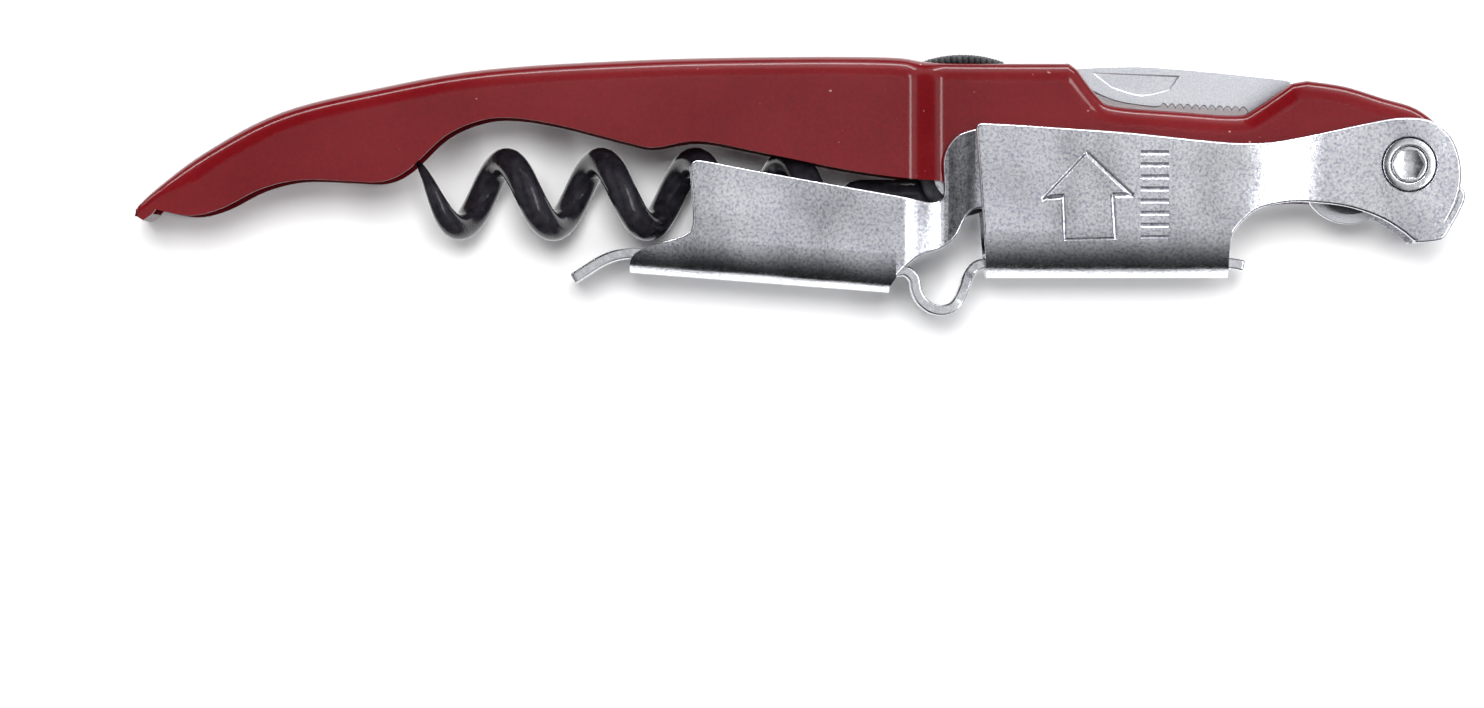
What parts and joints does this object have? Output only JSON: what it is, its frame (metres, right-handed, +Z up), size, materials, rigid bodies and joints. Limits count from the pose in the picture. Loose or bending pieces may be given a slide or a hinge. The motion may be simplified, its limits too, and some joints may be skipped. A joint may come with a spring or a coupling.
{
  "type": "waiter's corkscrew",
  "caption": "Folding waiter's corkscrew with a sheet handle, two-step spring lever, coiled worm, foil knife and cap lifter.",
  "frame": {"origin": "centre of the bounding box in X and Y, on the resting side in Z; the tool lies on its side", "axes": "+X along the tool towards the lever's hinge, +Y from the levers to the handle's back, +Z up out of the resting side, along every hinge axis"},
  "size_m": [0.1268, 0.0247, 0.0124],
  "materials": {
    "red_enamel": "gloss",
    "lever_steel": "satin",
    "bright_steel": "polished",
    "black_coating": "satin",
    "black_plastic": "matte"
  },
  "bodies": {
    "handle": {"body_channel": "red_enamel", "worm_pin": "bright_steel", "worm_washer_near": "lever_steel", "worm_washer_far": "lever_steel", "knife_pin": "bright_steel", "knife_spacer_near": "black_plastic", "knife_spacer_far": "black_plastic", "lever_sleeve": "bright_steel", "lever_screw": "bright_steel", "lever_nut": "bright_steel"},
    "first": {"lever_first": "lever_steel", "leaf_spring": "bright_steel", "rivet_first_a": "bright_steel", "rivet_first_b": "bright_steel", "ear_stud_near": "bright_steel", "ear_stud_far": "bright_steel"},
    "second": {"lever_second": "lever_steel", "rivet_second_a": "bright_steel", "rivet_second_b": "bright_steel"},
    "worm_arm": {"worm": "black_coating", "worm_hub": "black_plastic"},
    "knife": {"knife_blade": "bright_steel"}
  },
  "joints": [
    {"name": "lever_swing", "type": "hinge", "parent": "handle", "child": "first", "pos_m": [0.05805, 0.00205, 0.0062], "axis": [0, 0, 1], "range_deg": [0, 92]},
    {"name": "second_lever_flex", "type": "hinge", "parent": "first", "child": "second", "pos_m": [0.01925, 0.00165, 0.0062], "axis": [0, 0, 1], "range_deg": [0, 20], "stiffness_Nm_per_rad": 0.9, "deforming": ["leaf_spring"]},
    {"name": "worm_swing", "type": "hinge", "parent": "handle", "child": "worm_arm", "pos_m": [0.01545, 0.00125, 0.0062], "axis": [0, 0, 1], "range_deg": [0, 90]},
    {"name": "knife_swing", "type": "hinge", "parent": "handle", "child": "knife", "pos_m": [0.05265, 0.00105, 0.0062], "axis": [0, 0, 1], "range_deg": [-85, 0]}
  ],
  "couplings": [
    {"joint": "worm_swing", "follows": "lever_swing", "ratio": 0.975}
  ]
}
